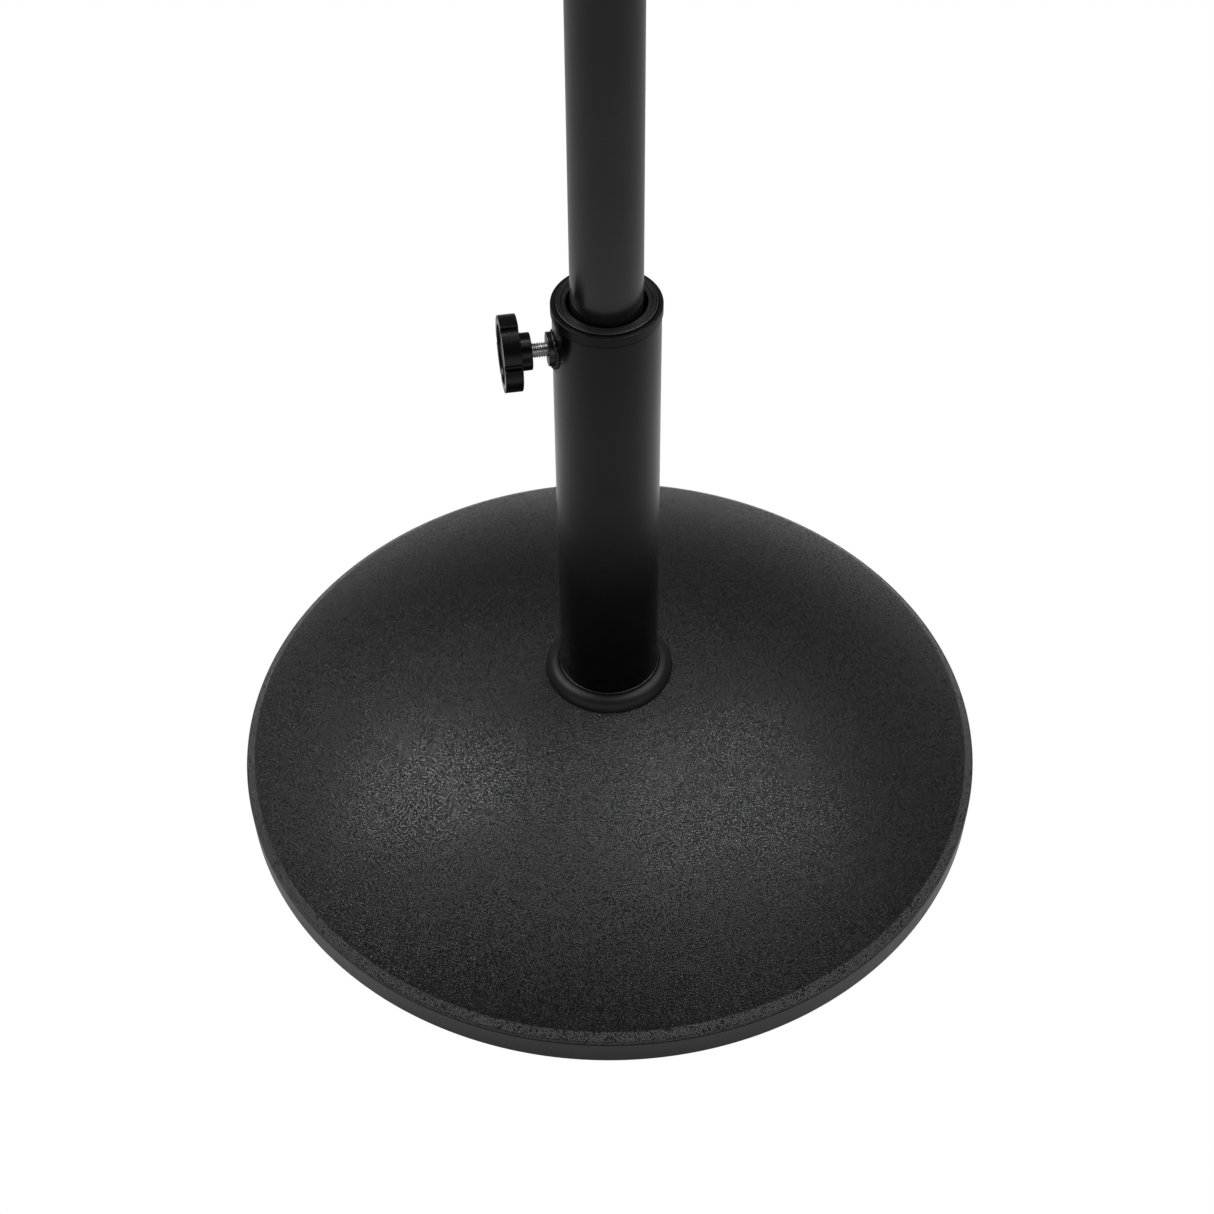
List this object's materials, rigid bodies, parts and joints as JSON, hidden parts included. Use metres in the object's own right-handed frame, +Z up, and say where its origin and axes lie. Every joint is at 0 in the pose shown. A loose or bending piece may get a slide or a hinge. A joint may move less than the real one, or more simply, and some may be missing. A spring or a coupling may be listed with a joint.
{
  "type": "umbrella base with lower pole",
  "caption": "Round weighted stand: a black domed plastic base with a steel tube and a star-knob clamping screw, holding the lower pole of a patio umbrella.",
  "frame": {"origin": "on the floor under the centre of the base, at the middle of the underside of the feet", "axes": "+Z up along the axis of the base tube and pole, -X along the clamping screw towards the star knob, +Y completes the right-handed frame"},
  "size_m": [0.444, 0.444, 1.135],
  "materials": {
    "grained_plastic": "fine leather grain, satin black",
    "tray_plastic": "smooth satin black",
    "collar_plastic": "smooth satin black",
    "cap_plastic": "fine matt black",
    "reducer_plastic": "fine matt black",
    "knob_plastic": "satin black",
    "knob_cap_plastic": "matt black",
    "plug_plastic": "matt black",
    "tip_nylon": "natural nylon",
    "foot_rubber": "matt black",
    "seal_rubber": "smooth black",
    "concrete": "cast concrete",
    "tube_coating": "satin black powder coat on steel",
    "plate_coating": "satin black powder coat on steel",
    "weld_coating": "black powder coat over a weld",
    "pole_coating": "satin dark grey powder coat on steel",
    "zinc_steel": "zinc plated",
    "screw_zinc": "bright zinc plated",
    "coupler_steel": "zinc plated",
    "rivet_steel": "zinc plated"
  },
  "bodies": {
    "base": {"bottom_tray": "tray_plastic", "rubber_feet": "foot_rubber", "concrete_ballast": "concrete", "base_shell": "grained_plastic", "base_collar": "collar_plastic", "tube_seal": "seal_rubber", "base_tube": "tube_coating", "tube_floor_plate": "plate_coating", "anchor_bolt": "zinc_steel", "anchor_lock_washer": "zinc_steel", "anchor_washer": "zinc_steel", "cap_ring": "cap_plastic", "clamp_bush": "weld_coating", "weld_bead": "weld_coating"},
    "screw_tip": {"screw_tip": "tip_nylon"},
    "knob": {"clamp_screw": "screw_zinc", "star_knob": "knob_plastic", "knob_cap": "knob_cap_plastic"},
    "reducer": {"reducer_sleeve": "reducer_plastic"},
    "pole_foot": {"pole_foot_plug": "plug_plastic"},
    "pole": {"lower_pole": "pole_coating", "pole_coupler": "coupler_steel", "coupler_rivets": "rivet_steel"}
  },
  "joints": [
    {"name": "screw_travel", "type": "slide", "parent": "base", "child": "screw_tip", "axis": [-1, 0, 0], "range_m": [0, 0.0102]},
    {"name": "knob_turn", "type": "hinge", "parent": "screw_tip", "child": "knob", "pos_m": [0, 0, 0.3377], "axis": [-1, 0, 0], "range_deg": [0, 2880]},
    {"name": "reducer_lift", "type": "slide", "parent": "base", "child": "reducer", "axis": [0, 0, 1], "range_m": [0, 0.05]},
    {"name": "pole_lift", "type": "slide", "parent": "base", "child": "pole_foot", "axis": [0, 0, 1], "range_m": [0, 0.32]},
    {"name": "pole_turn", "type": "hinge", "parent": "pole_foot", "child": "pole", "pos_m": [0, 0, 0.08], "axis": [0, 0, 1], "continuous": true}
  ],
  "couplings": [
    {"joint": "screw_travel", "follows": "knob_turn", "m_per_rad": 0.00019894}
  ]
}
